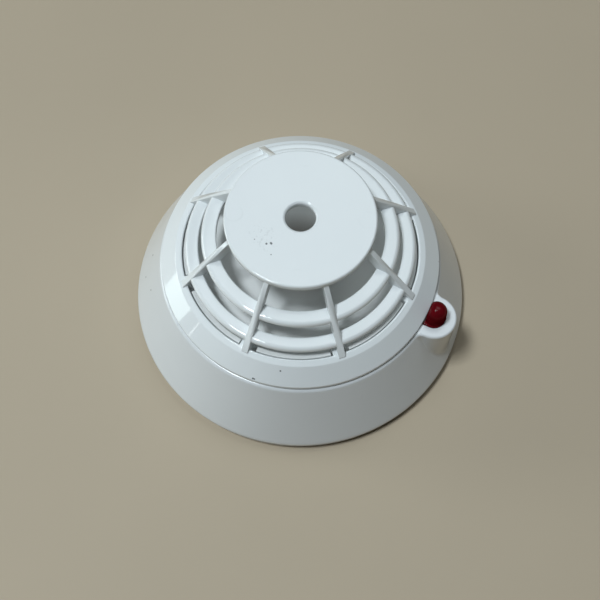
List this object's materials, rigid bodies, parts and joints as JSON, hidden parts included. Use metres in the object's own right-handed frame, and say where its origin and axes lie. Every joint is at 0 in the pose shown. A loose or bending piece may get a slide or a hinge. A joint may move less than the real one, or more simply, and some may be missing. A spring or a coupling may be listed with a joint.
{
  "type": "heat detector",
  "caption": "Round ceiling heat detector: conical skirt, slatted grille cone under a flat vented disc, red lamp pod, and a twist-lock base with screw contacts.",
  "frame": {"origin": "centre of the base's mounting face, on the axis of the cable entry", "axes": "+Z away from the ceiling or wall, towards the vented disc; +X through the indicator lamp"},
  "size_m": [0.1, 0.1, 0.0508],
  "materials": {
    "shell_plastic": "satin white moulded ABS",
    "base_plastic": "satin white moulded ABS",
    "inner_plastic": "matte white moulded ABS",
    "sleeve_plastic": "milky insulating sleeve",
    "lens_red": "deep red translucent, polished",
    "lamp_red": "red tinted epoxy",
    "contact_metal": "nickel-plated spring strip",
    "zinc_steel": "bright zinc plate",
    "stud_brass": "turned brass",
    "board_laminate": "green solder mask",
    "bead_coating": "dark epoxy coating",
    "component_black": "moulded epoxy",
    "diode_glass": "orange glass body",
    "can_sleeve": "shrink sleeve on an aluminium can",
    "ceramic_coating": "dipped ceramic coating",
    "resistor_coating": "tan lacquer"
  },
  "bodies": {
    "base": {"mounting_base": "base_plastic", "base_contact_1": "contact_metal", "base_contact_2": "contact_metal", "base_contact_3": "contact_metal", "base_contact_4": "contact_metal", "wire_clamps": "zinc_steel", "terminal_screws": "zinc_steel"},
    "head": {"head_housing": "shell_plastic", "grille_cover": "shell_plastic", "inner_chassis": "inner_plastic", "contact_carrier": "inner_plastic", "contact_blade_1": "contact_metal", "contact_blade_2": "contact_metal", "contact_blade_3": "contact_metal", "contact_blade_4": "contact_metal", "contact_studs": "stud_brass", "carrier_screws": "zinc_steel", "circuit_board": "board_laminate", "board_screws": "zinc_steel", "thermistor": "bead_coating", "thermistor_sleeve": "sleeve_plastic", "reference_thermistor": "bead_coating", "led_lens": "lens_red", "alarm_led": "lamp_red", "comparator_ic": "component_black", "thyristor": "component_black", "transistor_1": "component_black", "transistor_2": "component_black", "zener_diode": "diode_glass", "electrolytic_capacitor_1": "can_sleeve", "electrolytic_capacitor_2": "can_sleeve", "ceramic_capacitor_1": "ceramic_coating", "ceramic_capacitor_2": "ceramic_coating", "ceramic_capacitor_3": "ceramic_coating", "diode_1": "component_black", "diode_2": "component_black", "diode_3": "component_black", "diode_4": "component_black", "resistor_1": "resistor_coating", "resistor_2": "resistor_coating", "resistor_3": "resistor_coating", "resistor_4": "resistor_coating", "resistor_5": "resistor_coating", "resistor_6": "resistor_coating", "resistor_7": "resistor_coating", "resistor_8": "resistor_coating"}
  },
  "joints": [
    {"name": "head_twist", "type": "hinge", "parent": "base", "child": "head", "pos_m": [0, 0, 0], "axis": [0, 0, 1], "range_deg": [0, 20]}
  ]
}
